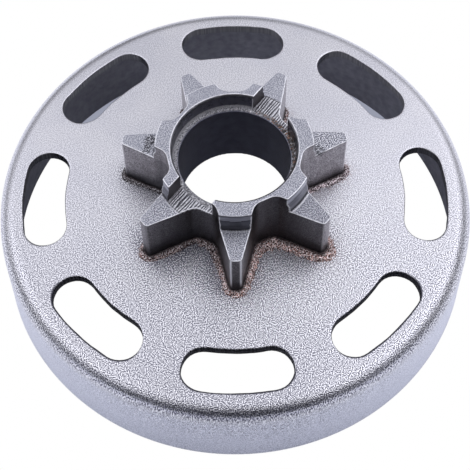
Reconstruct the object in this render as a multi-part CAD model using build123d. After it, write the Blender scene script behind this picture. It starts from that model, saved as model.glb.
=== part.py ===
from build123d import *
import math
import os

# Clutch drum with a brazed-on spur sprocket, resting on its open rim.
# Millimetres, +Z up, origin at the centre of the open rim, axis on Z.

# ---- drum: pressed steel cup, open downwards ----
DRUM_R = 37.5            # outside radius at the open rim
DRUM_R_TOP = 37.25       # outside radius where the bend starts (slight draw taper)
DRUM_IN_R = 35.85        # inside running surface for the clutch shoes
SHEET_T = 1.6            # sheet thickness in the web
BEND_R = 2.75            # outside bend radius between wall and web
BEND_IN_R = 1.3          # inside bend radius
WEB_Z_REF = 14.93        # web top height at WEB_R_REF
WEB_R_REF = 33.3
WEB_SLOPE = 0.08         # the web rises slightly towards the hub (mm per mm)
RIM_ROUND = 0.35         # rounding of the rim edges

# ---- kidney slots in the web ----
SLOT_COUNT = 8
SLOT_R = 30.11           # centre line radius
SLOT_HALF_W = 3.37       # half width, also the end radius
SLOT_HALF_DEG = 9.68     # half angle between the end centres
SLOT_EDGE = 0.22         # rolled-over top edge

# ---- spur sprocket ----
TEETH = 7
TOOTH_PHASE = -0.2       # degrees, front tooth against -Y
TIP_R = 17.53            # tip radius
TIP_HALF_W = 0.86        # half width of the tip before its corners are rounded
TIP_CORNER_R = 0.48
FLANK_DEG = 14.9         # flank angle against the tooth's centre line
ROOT_R = 10.18           # distance of the flat gullet bottom from the axis
ROOT_FILLET = 0.62       # corners between the gullet bottom and the flanks
TOOTH_TOP = 25.88        # height of the tooth tops
EDGE_C = 0.14            # broken edges

COLLAR_TOP = 29.22
COLLAR_R_TURNED = 11.95  # turned upper band of the collar
COLLAR_R_BASE = 12.35    # radius at the tooth tops
COLLAR_STEP_Z = 27.75    # lower end of the turned band
COUNTERBORE_R = 9.36
LEDGE_Z = 26.05          # counterbore floor, also the floor of the cross slot
BORE_R = 8.5             # bearing bore
SPIGOT_R = 9.9           # spigot that passes through the web
SPIGOT_BOTTOM = 14.1

CROSS_SLOT_DEG = 51.43   # direction of the cross slot
CROSS_SLOT_HALF_W = 3.3

# ---- brazed joint ----
BEAD_W = 1.05            # width on the web
BEAD_H = 0.95            # height on the tooth flanks
BEAD_C = 0.5


def web_top(r):
    return WEB_Z_REF + WEB_SLOPE * (WEB_R_REF - r)


def ring_profile(points):
    """Face in the XZ plane from (r, z) points."""
    return make_face(Plane.XZ * Polyline(*points, close=True))


def revolved(points):
    return revolve(ring_profile(points), axis=Axis.Z, revolution_arc=360)


# ------------------------------------------------------------------ drum
def make_drum():
    r_w = DRUM_R_TOP
    sharp_out = (r_w, web_top(r_w))
    sharp_in = (DRUM_IN_R, web_top(DRUM_IN_R) - SHEET_T)
    pts = [
        (DRUM_IN_R, 0.0),
        (DRUM_R, 0.0),
        sharp_out,
        (SPIGOT_R, web_top(SPIGOT_R)),
        (SPIGOT_R, web_top(SPIGOT_R) - SHEET_T),
        sharp_in,
    ]
    face = ring_profile(pts)

    def corner(p):
        return min(face.vertices(), key=lambda v: (v.X - p[0]) ** 2 + (v.Z - p[1]) ** 2)

    for p, rad in (
        (sharp_out, BEND_R),
        (sharp_in, BEND_IN_R),
        ((DRUM_R, 0.0), RIM_ROUND),
        ((DRUM_IN_R, 0.0), RIM_ROUND),
    ):
        face = fillet([corner(p)], rad)
        face = face if isinstance(face, Face) else face.faces()[0]
    drum = revolve(face, axis=Axis.Z, revolution_arc=360)

    # kidney slots
    a = math.radians(SLOT_HALF_DEG)
    ro, ri = SLOT_R + SLOT_HALF_W, SLOT_R - SLOT_HALF_W

    def pol(r, t):
        return (r * math.cos(t), r * math.sin(t))

    e1 = (SLOT_R * math.cos(a) - SLOT_HALF_W * math.sin(a),
          SLOT_R * math.sin(a) + SLOT_HALF_W * math.cos(a))
    e2 = (e1[0], -e1[1])
    outline = Wire([
        ThreePointArc(pol(ro, -a), pol(ro, 0), pol(ro, a)).edge(),
        ThreePointArc(pol(ro, a), e1, pol(ri, a)).edge(),
        ThreePointArc(pol(ri, a), pol(ri, 0), pol(ri, -a)).edge(),
        ThreePointArc(pol(ri, -a), e2, pol(ro, -a)).edge(),
    ])
    cutter = extrude(Plane.XY.offset(9.0) * Face(outline), amount=12.0)
    for k in range(SLOT_COUNT):
        drum = drum - Rot(0, 0, 360.0 / SLOT_COUNT * k) * cutter
    return drum


def roll_slot_edges(drum):
    """Round the top edges of the slots, as the punch leaves them."""
    picked = []
    for e in drum.edges():
        bb = e.bounding_box()
        c = e.center()
        r = math.hypot(c.X, c.Y)
        z_mid = 0.5 * (bb.min.Z + bb.max.Z)
        if SLOT_R - 6 < r < SLOT_R + 6 and abs(z_mid - web_top(r)) < 0.25 and e.length < 20:
            picked.append(e)
    return fillet(picked, SLOT_EDGE)


# -------------------------------------------------------------- sprocket
def star_face(grow=0.0, z=0.0):
    """Outline of the seven teeth; straight flanks, flat gullet bottoms."""
    a = math.radians(FLANK_DEG)
    half = math.pi / TEETH
    tip_r = TIP_R + grow
    root_r = ROOT_R + grow
    n = (math.cos(a), math.sin(a))                    # flank normal
    p0n = TIP_HALF_W * n[0] + TIP_R * n[1] + grow
    # gullet corner: u across, v along the gullet's centre line
    ca, sa = math.cos(half + a), math.sin(half + a)
    rf = max(ROOT_FILLET - grow, 0.2)
    gv = root_r + rf
    gu = (gv * sa - p0n - rf) / ca
    root_end = (gu, root_r)
    turn = (math.pi / 2 - half - a) / 2
    root_mid = (gu + rf * math.sin(turn), gv - rf * math.cos(turn))
    flank_in = (gu + rf * ca, gv - rf * sa)
    tc = TIP_CORNER_R + grow
    cy = tip_r - tc
    cx = (p0n - tc - cy * n[1]) / n[0]
    tip_in = (cx, tip_r)                              # end of the tip flat
    flank_out = (cx + tc * n[0], cy + tc * n[1])
    mid = math.pi / 2 - (math.pi / 2 - a) / 2
    tip_mid = (cx + tc * math.cos(mid), cy + tc * math.sin(mid))

    edges = []
    for k in range(TEETH):
        th = math.radians(TOOTH_PHASE - 90.0 + 360.0 / TEETH * k)
        er = (math.cos(th), math.sin(th))
        et = (-math.sin(th), math.cos(th))

        def place(p, s=1.0):
            return (er[0] * p[1] + et[0] * s * p[0], er[1] * p[1] + et[1] * s * p[0], z)

        th2 = th + 2 * half
        er2 = (math.cos(th2), math.sin(th2))
        et2 = (-math.sin(th2), math.cos(th2))

        def place2(p, s=-1.0):
            return (er2[0] * p[1] + et2[0] * s * p[0], er2[1] * p[1] + et2[1] * s * p[0], z)

        thg = th + half
        eg = (math.cos(thg), math.sin(thg))
        etg = (-math.sin(thg), math.cos(thg))

        def gullet(p, s=1.0):
            return (eg[0] * p[1] + etg[0] * s * p[0], eg[1] * p[1] + etg[1] * s * p[0], z)

        edges += [
            Line(place(tip_in, -1), place(tip_in)).edge(),
            ThreePointArc(place(tip_in), place(tip_mid), place(flank_out)).edge(),
            Line(place(flank_out), gullet(flank_in, -1)).edge(),
            ThreePointArc(gullet(flank_in, -1), gullet(root_mid, -1), gullet(root_end, -1)).edge(),
            Line(gullet(root_end, -1), gullet(root_end)).edge(),
            ThreePointArc(gullet(root_end), gullet(root_mid), gullet(flank_in)).edge(),
            Line(gullet(flank_in), place2(flank_out)).edge(),
            ThreePointArc(place2(flank_out), place2(tip_mid), place2(tip_in)).edge(),
        ]
    return Face(Wire(edges))


def star_prism(z0, z1):
    """Toothed prism with a broken top edge."""
    body = extrude(star_face(0.0, z0), amount=z1 - EDGE_C - z0, dir=(0, 0, 1))
    top = loft([star_face(0.0, z1 - EDGE_C), star_face(-EDGE_C, z1)], ruled=True)
    return body + top


def make_sprocket():
    web_cut = revolved([
        (SPIGOT_R, web_top(SPIGOT_R)),
        (30.0, web_top(30.0)),
        (30.0, 10.0),
        (SPIGOT_R, 10.0),
    ])
    low = star_prism(14.6, TOOTH_TOP)
    collar_env = revolved([
        (0.0, TOOTH_TOP - 1.0),
        (COLLAR_R_BASE, TOOTH_TOP - 1.0),
        (COLLAR_R_BASE, TOOTH_TOP),
        (COLLAR_R_BASE - 0.1, COLLAR_STEP_Z - 0.18),
        (COLLAR_R_TURNED, COLLAR_STEP_Z),
        (COLLAR_R_TURNED, COLLAR_TOP - EDGE_C),
        (COLLAR_R_TURNED - EDGE_C, COLLAR_TOP),
        (0.0, COLLAR_TOP),
    ])
    high = star_prism(TOOTH_TOP - 1.0, COLLAR_TOP) & collar_env
    body = low + high
    body = body - web_cut
    spigot = revolved([
        (0.0, SPIGOT_BOTTOM),
        (SPIGOT_R - 0.25, SPIGOT_BOTTOM),
        (SPIGOT_R, SPIGOT_BOTTOM + 0.25),
        (SPIGOT_R, 18.0),
        (0.0, 18.0),
    ])
    body = body + spigot
    # bearing bore with broken ends, counterbore with a small lead-in
    bore = revolved([
        (0.0, 10.0),
        (BORE_R + 0.3, 10.0),
        (BORE_R + 0.3, SPIGOT_BOTTOM),
        (BORE_R, SPIGOT_BOTTOM + 0.3),
        (BORE_R, LEDGE_Z - 0.1),
        (BORE_R + 0.1, LEDGE_Z),
        (COUNTERBORE_R, LEDGE_Z),
        (COUNTERBORE_R, COLLAR_TOP - 0.16),
        (COUNTERBORE_R + 0.16, COLLAR_TOP),
        (COUNTERBORE_R + 0.16, COLLAR_TOP + 3.0),
        (0.0, COLLAR_TOP + 3.0),
    ])
    body = body - bore
    # milled cross slot through the collar
    slot = extrude(
        Plane.XY.offset(LEDGE_Z) * Rot(0, 0, CROSS_SLOT_DEG) * Rectangle(60.0, 2 * CROSS_SLOT_HALF_W),
        amount=10.0)
    return body - slot


# ----------------------------------------------------------------- braze
def make_bead():
    outer = extrude(star_face(BEAD_W, 14.0), amount=6.0, dir=(0, 0, 1))
    slab = revolved([
        (SPIGOT_R, web_top(SPIGOT_R)),
        (25.0, web_top(25.0)),
        (25.0, web_top(25.0) + BEAD_H),
        (SPIGOT_R, web_top(SPIGOT_R) + BEAD_H),
    ])
    inner = extrude(star_face(0.0, 13.0), amount=9.0, dir=(0, 0, 1))
    plate = outer & slab
    picked = []
    for e in plate.edges():
        c = e @ 0.5
        r = math.hypot(c.X, c.Y)
        if r > SPIGOT_R + 0.3 and abs(c.Z - web_top(r) - BEAD_H) < 0.05:
            picked.append(e)
    return chamfer(picked, BEAD_C) - inner


drum = roll_slot_edges(make_drum())
sprocket = make_sprocket()
bead = make_bead()

nodes = {
    "clutch_drum": drum,
    "spur_sprocket": sprocket,
    "braze_fillet": bead,
}

os.makedirs("parts", exist_ok=True)
for name, shape in nodes.items():
    solids = shape.solids()
    print(name, len(solids), round(sum(s.volume for s in solids), 2))
    out = solids[0] if len(solids) == 1 else Compound(children=list(solids))
    export_step(out, os.path.join("parts", name + ".step"))
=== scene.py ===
import math

import bpy
import numpy as np
from mathutils import Matrix, Vector


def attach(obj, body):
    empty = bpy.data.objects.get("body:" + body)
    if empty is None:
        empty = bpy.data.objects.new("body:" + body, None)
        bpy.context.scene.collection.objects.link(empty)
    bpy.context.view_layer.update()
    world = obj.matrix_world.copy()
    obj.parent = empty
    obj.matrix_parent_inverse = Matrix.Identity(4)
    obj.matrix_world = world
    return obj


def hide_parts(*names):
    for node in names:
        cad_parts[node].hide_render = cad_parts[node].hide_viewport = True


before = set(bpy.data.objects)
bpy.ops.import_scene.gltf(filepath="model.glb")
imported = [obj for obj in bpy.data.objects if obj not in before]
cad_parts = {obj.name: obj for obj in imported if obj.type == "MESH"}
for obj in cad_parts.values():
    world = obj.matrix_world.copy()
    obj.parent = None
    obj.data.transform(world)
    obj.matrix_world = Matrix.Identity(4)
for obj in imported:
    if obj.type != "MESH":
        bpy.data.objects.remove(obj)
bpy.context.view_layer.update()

MM = 0.001

# ------------------------------------------------------------------ sizes (mm), as in the CAD
DRUM_R, DRUM_R_TOP, DRUM_IN_R = 37.49, 37.25, 35.85
SHEET_T, BEND_R, BEND_IN_R = 1.6, 2.75, 1.3
WEB_Z_REF, WEB_R_REF, WEB_SLOPE, RIM_ROUND = 14.93, 33.3, 0.08, 0.35
SLOT_COUNT, SLOT_R, SLOT_HALF_W, SLOT_HALF_DEG, SLOT_EDGE = 8, 30.11, 3.37, 9.68, 0.22
TEETH, TOOTH_PHASE = 7, -0.2
TIP_R, TIP_HALF_W, TIP_CORNER_R, FLANK_DEG, ROOT_R, ROOT_FILLET = 17.53, 0.86, 0.48, 14.9, 10.18, 0.62
TOOTH_TOP, COLLAR_TOP = 25.88, 29.22
COLLAR_R_TURNED, COLLAR_R_BASE, COLLAR_STEP_Z = 11.95, 12.35, 27.75
COUNTERBORE_R, LEDGE_Z, BORE_R = 9.36, 26.05, 8.5
SPIGOT_R, SPIGOT_BOTTOM = 9.9, 14.1
CROSS_SLOT_DEG, CROSS_SLOT_HALF_W = 51.43, 3.3


def web_top(r):
    return WEB_Z_REF + WEB_SLOPE * (WEB_R_REF - r)


# ------------------------------------------------------------------ noise
def _lattice(ix, iy, iz, seed):
    h = (ix.astype(np.uint32) * np.uint32(374761393)
         + iy.astype(np.uint32) * np.uint32(668265263)
         + iz.astype(np.uint32) * np.uint32(2246822519)
         + np.uint32((seed * 2654435761) & 0xFFFFFFFF))
    h ^= h >> np.uint32(13)
    h *= np.uint32(1274126177)
    h ^= h >> np.uint32(16)
    return h.astype(np.float64) / 2147483647.5 - 1.0


def noise3(p, size, seed=0):
    """Smooth value noise, -1 to 1, with features of about size mm."""
    q = p / size
    i = np.floor(q)
    f = q - i
    i = i.astype(np.int64)
    u = f * f * (3 - 2 * f)
    out = 0.0
    for dx in (0, 1):
        wx = u[:, 0] if dx else 1 - u[:, 0]
        for dy in (0, 1):
            wy = u[:, 1] if dy else 1 - u[:, 1]
            for dz in (0, 1):
                wz = u[:, 2] if dz else 1 - u[:, 2]
                out = out + wx * wy * wz * _lattice(i[:, 0] + dx, i[:, 1] + dy, i[:, 2] + dz, seed)
    return out


def grains(p, size, seed=0):
    """Nearest scattered point: distance in units of size, and a random number for each grain."""
    q = p / size
    base = np.floor(q).astype(np.int64)
    best = np.full(len(p), 9.0)
    tone = np.zeros(len(p))
    for dx in (-1, 0, 1):
        for dy in (-1, 0, 1):
            for dz in (-1, 0, 1):
                c = base + np.array([dx, dy, dz])
                d2 = 0.0
                for k in range(3):
                    o = 0.5 + 0.5 * _lattice(c[:, 0], c[:, 1], c[:, 2], seed + 101 * (k + 1))
                    d2 = d2 + (c[:, k] + o - q[:, k]) ** 2
                hit = d2 < best
                best = np.where(hit, d2, best)
                tone = np.where(hit, 0.5 + 0.5 * _lattice(c[:, 0], c[:, 1], c[:, 2], seed + 777), tone)
    return np.sqrt(best), tone


def fbm(p, size, seed=0, octaves=3, gain=0.5):
    out, amp, total = 0.0, 1.0, 0.0
    for k in range(octaves):
        out = out + amp * noise3(p, size / 2 ** k, seed + 17 * k)
        total += amp
        amp *= gain
    return out / total


# ------------------------------------------------------------------ mesh helpers
def make_object(name, verts_mm, faces, normals=None):
    me = bpy.data.meshes.new(name)
    me.from_pydata((np.asarray(verts_mm) * MM).tolist(), [], faces)
    me.update()
    me.validate()
    me.polygons.foreach_set("use_smooth", np.ones(len(me.polygons), bool))
    if normals is not None:
        me.normals_split_custom_set_from_vertices([tuple(n) for n in normals])
    ob = bpy.data.objects.new(name, me)
    bpy.context.scene.collection.objects.link(ob)
    return ob


def set_attribute(ob, name, values):
    at = ob.data.attributes.new(name, "FLOAT", "POINT")
    at.data.foreach_set("value", np.asarray(values, np.float32))


def rmax(a, b, r):
    """Intersection of two solids with the common edge rounded to radius r."""
    return np.minimum(np.maximum(a, b), -r) + np.hypot(np.maximum(a + r, 0), np.maximum(b + r, 0))


def runion(a, b, r):
    """Union of two solids with the inside corner rounded to radius r."""
    return np.maximum(np.minimum(a, b), r) - np.hypot(np.maximum(r - a, 0), np.maximum(r - b, 0))


def smin(a, b, k):
    """Union with a small fillet."""
    h = np.maximum(k - np.abs(a - b), 0) / k
    return np.minimum(a, b) - h * h * k * 0.25


def surface_nets(field, axes):
    """Quads on the zero surface of a field sampled on a grid (negative inside)."""
    s = field < 0
    n = s[:-1, :-1, :-1].astype(np.int8)
    for dx, dy, dz in ((1, 0, 0), (0, 1, 0), (0, 0, 1), (1, 1, 0), (1, 0, 1), (0, 1, 1), (1, 1, 1)):
        n = n + s[dx:s.shape[0] - 1 + dx, dy:s.shape[1] - 1 + dy, dz:s.shape[2] - 1 + dz]
    cells = np.argwhere((n > 0) & (n < 8))
    index = np.full(n.shape, -1, np.int64)
    index[cells[:, 0], cells[:, 1], cells[:, 2]] = np.arange(len(cells))
    acc = np.zeros((len(cells), 3))
    cnt = np.zeros(len(cells))
    corner = [(x, y, z) for x in (0, 1) for y in (0, 1) for z in (0, 1)]
    for a in corner:
        for ax in range(3):
            if a[ax]:
                continue
            b = list(a)
            b[ax] = 1
            fa = field[cells[:, 0] + a[0], cells[:, 1] + a[1], cells[:, 2] + a[2]].astype(float)
            fb = field[cells[:, 0] + b[0], cells[:, 1] + b[1], cells[:, 2] + b[2]].astype(float)
            cross = (fa < 0) != (fb < 0)
            t = np.where(cross, fa / np.where(cross, fa - fb, 1.0), 0.0)
            p = np.array(a, float)[None, :] + t[:, None] * (np.array(b, float) - np.array(a, float))[None, :]
            acc += np.where(cross[:, None], p, 0.0)
            cnt += cross
    at = cells + acc / cnt[:, None]
    verts = np.stack([np.interp(at[:, k], np.arange(len(axes[k])), axes[k]) for k in range(3)], 1)
    quads = []
    for ax in range(3):
        u, v = (ax + 1) % 3, (ax + 2) % 3
        lo = [slice(None)] * 3
        hi = [slice(None)] * 3
        lo[ax], hi[ax] = slice(0, -1), slice(1, None)
        e = np.argwhere(s[tuple(lo)] != s[tuple(hi)])
        ok = (e[:, u] > 0) & (e[:, v] > 0) & (e[:, u] < s.shape[u] - 1) & (e[:, v] < s.shape[v] - 1)
        e = e[ok]
        inside_low = s[e[:, 0], e[:, 1], e[:, 2]]
        ring = []
        for du, dv in ((-1, -1), (0, -1), (0, 0), (-1, 0)):
            c = e.copy()
            c[:, u] += du
            c[:, v] += dv
            ring.append(index[c[:, 0], c[:, 1], c[:, 2]])
        q = np.stack(ring, 1)
        q[~inside_low] = q[~inside_low][:, ::-1]
        quads.append(q)
    return verts, np.concatenate(quads)


def largest_body(verts, quads):
    """Leaves out small loose bits."""
    label = np.arange(len(verts))
    while True:
        low = label[quads].min(1)
        new = label.copy()
        for k in range(4):
            np.minimum.at(new, quads[:, k], low)
        new = new[new]
        if np.array_equal(new, label):
            break
        label = new
    owner = label[quads[:, 0]]
    quads = quads[owner == np.bincount(owner).argmax()]
    used, back = np.unique(quads, return_inverse=True)
    return verts[used], back.reshape(quads.shape)


def gradient(sd, p, eps):
    g = np.empty_like(p)
    for ax in range(3):
        d = np.zeros(3)
        d[ax] = eps
        g[:, ax] = (sd(p + d) - sd(p - d)) / (2 * eps)
    return g


def settle(sd, p, steps=4):
    """Moves points onto the zero surface of sd."""
    for _ in range(steps):
        d = sd(p)
        g = gradient(sd, p, 0.01)
        step = d / np.maximum((g * g).sum(1), 0.2)
        p = p - np.clip(step, -0.12, 0.12)[:, None] * g
    return p


def unit(v):
    return v / np.maximum(np.linalg.norm(v, axis=1), 1e-9)[:, None]


# ------------------------------------------------------------------ sprocket outline
_a = math.radians(FLANK_DEG)
_half = math.pi / TEETH
_n = (math.cos(_a), math.sin(_a))
_b = (math.sin(_half), math.cos(_half))
_p0n = TIP_HALF_W * _n[0] + TIP_R * _n[1]


def tooth_uv(x, y):
    """Distance from the middle line of the nearest tooth, and distance along it."""
    per = 2 * math.pi / TEETH
    th = np.arctan2(y, x) - math.radians(TOOTH_PHASE - 90.0)
    th = (th + per / 2) % per - per / 2
    r = np.hypot(x, y)
    return np.abs(r * np.sin(th)), r * np.cos(th)


def star2d(x, y):
    """Distance to the outline of the teeth, negative inside."""
    u, v = tooth_uv(x, y)
    tooth = rmax(u * _n[0] + v * _n[1] - _p0n, v - TIP_R, TIP_CORNER_R)
    return runion(tooth, u * _b[0] + v * _b[1] - ROOT_R, ROOT_FILLET)


_cd = math.radians(CROSS_SLOT_DEG)


def plan(x, y):
    """The quantities that depend on x and y only."""
    return star2d(x, y), np.hypot(x, y), -x * math.sin(_cd) + y * math.cos(_cd)


MOUTH = 0.28          # chamfer at the mouth of the counterbore


def sprocket_field(star, r, s, z, edge=0.11, floor=LEDGE_Z, ledge=LEDGE_Z, top=TOOTH_TOP, lift=0.0):
    teeth = rmax(star - lift, z - top, edge)
    f = np.clip((z - 26.7) / (COLLAR_STEP_Z - 26.7), 0, 1)
    rc = COLLAR_R_BASE - 0.1 * np.clip((z - TOOTH_TOP) / 1.7, 0, 1) - (COLLAR_R_BASE - 0.1 - COLLAR_R_TURNED) * f * f * (3 - 2 * f)
    collar = rmax(rmax(star - lift, r - rc, 0.10), z - COLLAR_TOP, edge * 0.85)
    d = smin(teeth, collar, 0.08)
    d = np.maximum(d, web_top(r) - 0.06 - z)
    spigot = np.maximum(rmax(r - SPIGOT_R + 0.02, SPIGOT_BOTTOM - z, 0.22), z - 18.0)
    d = np.minimum(d, spigot)
    counter = -rmax(r - COUNTERBORE_R, ledge - z, 0.60)
    slot = np.minimum(CROSS_SLOT_HALF_W - np.abs(s), z - floor)
    d = rmax(d, np.maximum(counter, slot), edge * 0.8)
    d = np.maximum(d, (COUNTERBORE_R + MOUTH - r - COLLAR_TOP + z) * 0.7071)
    return rmax(d, BORE_R - r, 0.08)


# rough pitted spots beside the collar: centre, half sizes along and across the radius, depth
SPOTS = (((-12.98, 3.0), 0.85, 2.05, 1.0), ((12.80, 1.2), 0.80, 1.15, 0.9))


def patch_mask(p):
    out = np.zeros(len(p))
    ragged = 0.45 * noise3(p, 0.6, 91) + 0.25 * noise3(p, 0.3, 92)
    for c, ha, hb, depth in SPOTS:
        c = np.array(c)
        er = c / np.hypot(c[0], c[1])
        q = p[:, :2] - c
        d = np.hypot(q @ er / ha, (q[:, 1] * er[0] - q[:, 0] * er[1]) / hb)
        out = np.maximum(out, depth * np.clip((1.15 - d + 0.6 * ragged) * 2.0, 0, 1))
    return out * np.clip((p[:, 2] - 25.0) / 0.3, 0, 1)


def sprocket_sd(p):
    x, y, z = p[:, 0], p[:, 1], p[:, 2]
    star, r, s = plan(x, y)
    pm = patch_mask(p)
    edge = 0.115 + 0.035 * noise3(p, 1.3, 5) + 0.025 * noise3(p, 0.5, 6) + 0.16 * pm * np.clip(0.5 + noise3(p, 0.45, 7), 0, 1)
    # milled floor of the cross slot: broken ridges along the slot
    along = x * math.cos(_cd) + y * math.sin(_cd)
    ridge = noise3(np.stack([s / 0.23, along / 1.15, 0 * s], 1), 1.0, 21)
    floor = LEDGE_Z - 0.08 + 0.022 * ridge + 0.02 * noise3(p, 0.35, 23)
    ledge = LEDGE_Z - 0.02 + 0.07 * fbm(p, 0.55, 31, 2)
    top = TOOTH_TOP - 0.01 + 0.010 * noise3(p, 0.6, 41) + 0.006 * noise3(p, 0.33, 42)
    top = top - 0.12 * pm * np.clip(0.5 + 0.9 * noise3(p, 0.30, 43), 0, 1.3)
    lift = 0.012 * noise3(p, 1.6, 51) + 0.004 * noise3(p * np.array([1, 1, 0.12]), 0.3, 52) - 0.015
    return sprocket_field(star, r, s, z, edge, floor, ledge, top, lift)


def build_sprocket():
    h = 0.152
    ax = [np.arange(-18.0, 18.0, h), np.arange(-18.2, 17.0, h),
          np.concatenate([np.arange(13.8, 14.7, 0.18), np.arange(14.7, 25.0, 0.43), np.arange(25.2, 29.6, h)])]
    gx, gy = np.meshgrid(ax[0], ax[1], indexing="ij")
    star, r, s = plan(gx, gy)
    field = sprocket_field(star[:, :, None], r[:, :, None], s[:, :, None], ax[2][None, None, :]).astype(np.float32)
    v, q = surface_nets(field, ax)
    v = settle(sprocket_sd, v, 5)
    nrm = unit(gradient(sprocket_sd, v, 0.03))
    ob = make_object("sprocket_body", v, q.tolist(), nrm)

    e = 0.13
    lap = -6 * sprocket_sd(v)
    for k in range(3):
        d = np.zeros(3)
        d[k] = e
        lap = lap + sprocket_sd(v + d) + sprocket_sd(v - d)
    lap = lap / (e * e)
    star, r, s = plan(v[:, 0], v[:, 1])
    z = v[:, 2]
    pm = patch_mask(v)
    wear = np.clip((lap - 1.9) / 4.0, 0, 1)
    wear = wear * np.where((r > 11.6) & (z > TOOTH_TOP + 0.3) & (z < COLLAR_TOP - 0.4) & (star < -0.4), 0.0, 1.0)
    wear = wear * np.where((r < BORE_R + 0.3) & (z > LEDGE_Z - 0.5), 0.0, 1.0)
    wear = wear * np.where(z < TOOTH_TOP - 0.4, 0.4, 1.0) * (1 - 0.7 * pm)
    wear = wear * np.where((z > COLLAR_TOP - 0.45) | ((np.abs(z - TOOTH_TOP) < 0.3) & (r > 12.1)), 0.15, 1.0)
    set_attribute(ob, "edge_wear", wear)
    # for the painted highlight lines along the edges
    u, along = tooth_uv(v[:, 0], v[:, 1])
    set_attribute(ob, "outline", star)
    set_attribute(ob, "tip_u", u)
    set_attribute(ob, "tip_v", along)
    around = np.degrees(np.arctan2(v[:, 0], -v[:, 1]))
    lit = np.interp(around, [-180, -80, -76, -26, -25, 25, 26, 76, 80, 180], [0.5, 0.5, 0.12, 0.12, 0.95, 0.95, 0.35, 0.35, 0.5, 0.5])
    set_attribute(ob, "tip_lit", lit * np.clip((z - 17.4) / 1.5, 0, 1) * (z < TOOTH_TOP + 0.05))
    # painted shade in the concave corners, left off in the counterbore
    set_attribute(ob, "crease_shade", np.clip((-lap - 1.2) / 5.0, 0, 1) * ((r > COUNTERBORE_R + 0.12) | (z < LEDGE_Z - 0.5)))
    in_slot = (np.abs(s) < CROSS_SLOT_HALF_W - 0.05) & (z > LEDGE_Z - 0.35) & (z < LEDGE_Z + 0.1) & (r > BORE_R + 0.05) & (r < COLLAR_R_BASE + 0.15)
    set_attribute(ob, "milled", in_slot.astype(float))
    # painted shade on the slot floor along the foot of its walls
    set_attribute(ob, "wall_foot_shade", in_slot * np.clip((np.abs(s) - CROSS_SLOT_HALF_W + 0.55) / 0.4, 0, 1))
    cheek = (np.abs(s) > CROSS_SLOT_HALF_W - 0.05) & (np.abs(s) < CROSS_SLOT_HALF_W + 0.10) & (z > LEDGE_Z + 0.05) & (z < COLLAR_TOP - 0.12)
    set_attribute(ob, "cheek", cheek.astype(float))
    ledge = (r < COUNTERBORE_R + 0.02) & (r > BORE_R + 0.10) & (z > LEDGE_Z - 0.3) & (z < LEDGE_Z + 0.72)
    set_attribute(ob, "ledge", ledge.astype(float))
    set_attribute(ob, "bore", ((r < BORE_R + np.where(v[:, 1] > 3, 0.17, 0.11)) | (z < web_top(r) - 0.5)).astype(float))
    set_attribute(ob, "counter", ((r < COUNTERBORE_R + 0.06) & (z > LEDGE_Z + 0.72) & (z < COLLAR_TOP - MOUTH + 0.02)).astype(float))
    set_attribute(ob, "mouth", ((r < COUNTERBORE_R + MOUTH - 0.03) & (r > COUNTERBORE_R - 0.1) & (z > COLLAR_TOP - MOUTH - 0.05)).astype(float))
    set_attribute(ob, "up_face", np.clip((nrm[:, 2] - 0.5) * 3, 0, 1) * ((z < TOOTH_TOP + 0.3) | (z > COLLAR_TOP - 0.3)))
    set_attribute(ob, "pitted", pm * (nrm[:, 2] > 0.0))
    # painted shade and painted dark reflection on the flanks, darkest in the front gullets and near the foot
    ang = np.degrees(np.arctan2(v[:, 0], -v[:, 1]))
    flank_shade = np.interp(ang, [-180, -125, -100, -80, -66, -45, 0, 45, 66, 80, 100, 125, 180], [0.3, 0.28, 0.27, 0.30, 0.70, 0.90, 0.97, 0.97, 0.68, 0.0, 0.0, 0.1, 0.3])
    deep = np.clip((18.0 - r) / 5.0, 0, 1)
    foot = np.clip((24.5 - z) / 8.0, 0, 1)
    low = np.clip((19.9 - z) / 3.2, 0, 1) ** 1.25
    left = np.interp(ang, [-125, -105, -70, -60], [0.0, 1.0, 1.0, 0.0]) * np.clip((22.5 - z) / 5.0, 0, 1) * np.clip((16.5 - r) / 4.0, 0, 1)
    end_face = np.clip((along - TIP_R + 0.3) / 0.15, 0, 1) * np.interp(ang, [20, 26, 76, 80], [0.0, 1.0, 1.0, 0.0])
    flank_shade = flank_shade * (1 - 0.8 * end_face)
    left = left + np.interp(ang, [-125, -105, -70, -60], [0.0, 0.8, 0.8, 0.0]) * np.clip((12.7 - r) / 1.3, 0, 1) * (z < TOOTH_TOP - 0.1)
    set_attribute(ob, "flank_shade", np.clip(flank_shade * (0.55 + 0.35 * deep + 0.2 * foot) + 1.05 * low + 0.55 * left, 0, 1))
    wavy = 0.10 * noise3(v * np.array([1, 1, 0]), 1.6, 55)
    band = ((r > 9.5) & (z > COLLAR_STEP_Z - 0.05 + wavy) & (z < COLLAR_TOP - 0.1) & (nrm[:, 2] < 0.4) & (r > COLLAR_R_TURNED - 0.12))
    set_attribute(ob, "turned", band.astype(float))
    # collar wall below the step: painted shade in front, painted light on the sides (under_lit)
    under = (r > COLLAR_R_TURNED - 0.05) & (z > TOOTH_TOP + 0.12) & (z < COLLAR_STEP_Z - 0.05 + wavy) & (star < -0.05)
    set_attribute(ob, "under", under.astype(float))
    set_attribute(ob, "under_lit", np.interp(ang, [-66, -40, -25, 25, 40, 66], [0.39, 0.39, 0.0, 0.0, 0.66, 0.66]))
    # the three front teeth are a little darker on top
    top_darkening = np.interp(ang, [-180, -80, -66, -40, -25, 25, 40, 66, 78, 180], [0.0, 0.0, 0.45, 0.45, 0.75, 0.75, 1.4, 1.4, 0.0, 0.0])
    set_attribute(ob, "top_darkening", top_darkening * (z < TOOTH_TOP + 0.3))
    return ob


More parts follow.
